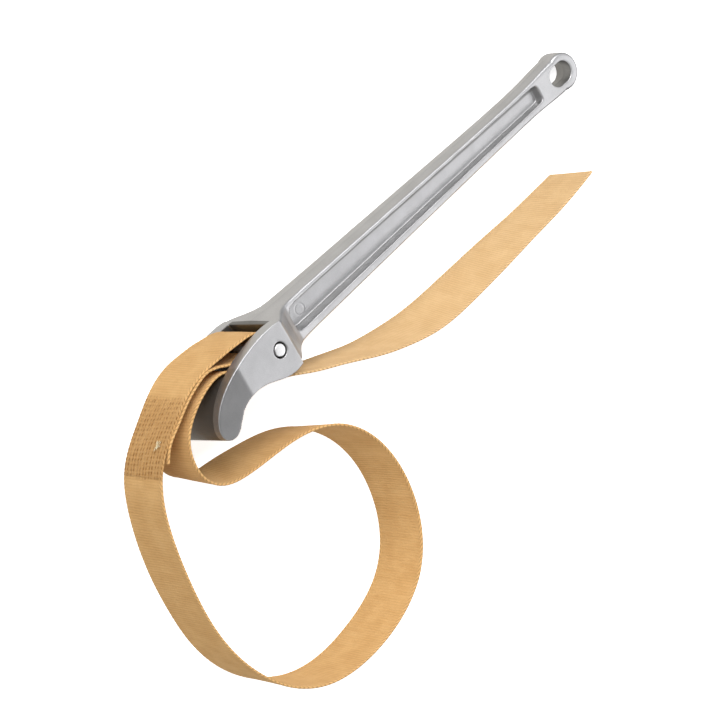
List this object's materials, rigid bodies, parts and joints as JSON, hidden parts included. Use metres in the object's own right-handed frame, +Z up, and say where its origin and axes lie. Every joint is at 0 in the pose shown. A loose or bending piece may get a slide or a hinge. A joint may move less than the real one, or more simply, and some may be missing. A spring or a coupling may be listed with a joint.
{
  "type": "strap wrench",
  "caption": "Cast aluminium strap wrench: long pocketed handle, forked head with a pin and toe, and a wide woven strap sewn round the pin that forms a loop and leaves as a free tail.",
  "frame": {"origin": "bottom centre of the bounding box, on the surface the wrench and strap lie on", "axes": "+X along the handle from the head to its hanging end, +Y towards the back of the head, +Z up; the pin leans 4.1 degrees from +Z towards +X, because one cheek is higher than the end of the handle"},
  "size_m": [0.5382, 0.2806, 0.0735],
  "materials": {
    "cast_aluminium": "satin, fine cast grain",
    "pin_steel": "bright ground end",
    "webbing": "coarse woven, matt",
    "sewing_thread": "twisted thread, matt"
  },
  "bodies": {
    "handle": {"handle_casting": "cast_aluminium", "strap_pin": "pin_steel", "strap_grip": "webbing"},
    "strap": {"strap_eye": "webbing", "strap_lap": "webbing", "strap_loop": "webbing", "stitch_row_1": "sewing_thread", "stitch_row_2": "sewing_thread", "stitch_row_3": "sewing_thread", "stitch_row_4": "sewing_thread", "stitch_row_5": "sewing_thread", "stitch_row_6": "sewing_thread"},
    "tail": {"strap_tail": "webbing"}
  },
  "joints": [
    {"name": "strap_swing", "type": "hinge", "parent": "handle", "child": "strap", "pos_m": [-0.11467, 0.11215, 0.03633], "axis": [-0.0711, 0, -0.9975], "range_deg": [0, 15]},
    {"name": "tail_swing", "type": "hinge", "parent": "handle", "child": "tail", "pos_m": [-0.11367, 0.08735, 0.036], "axis": [0, 0, 1], "range_deg": [-12, 6]}
  ]
}
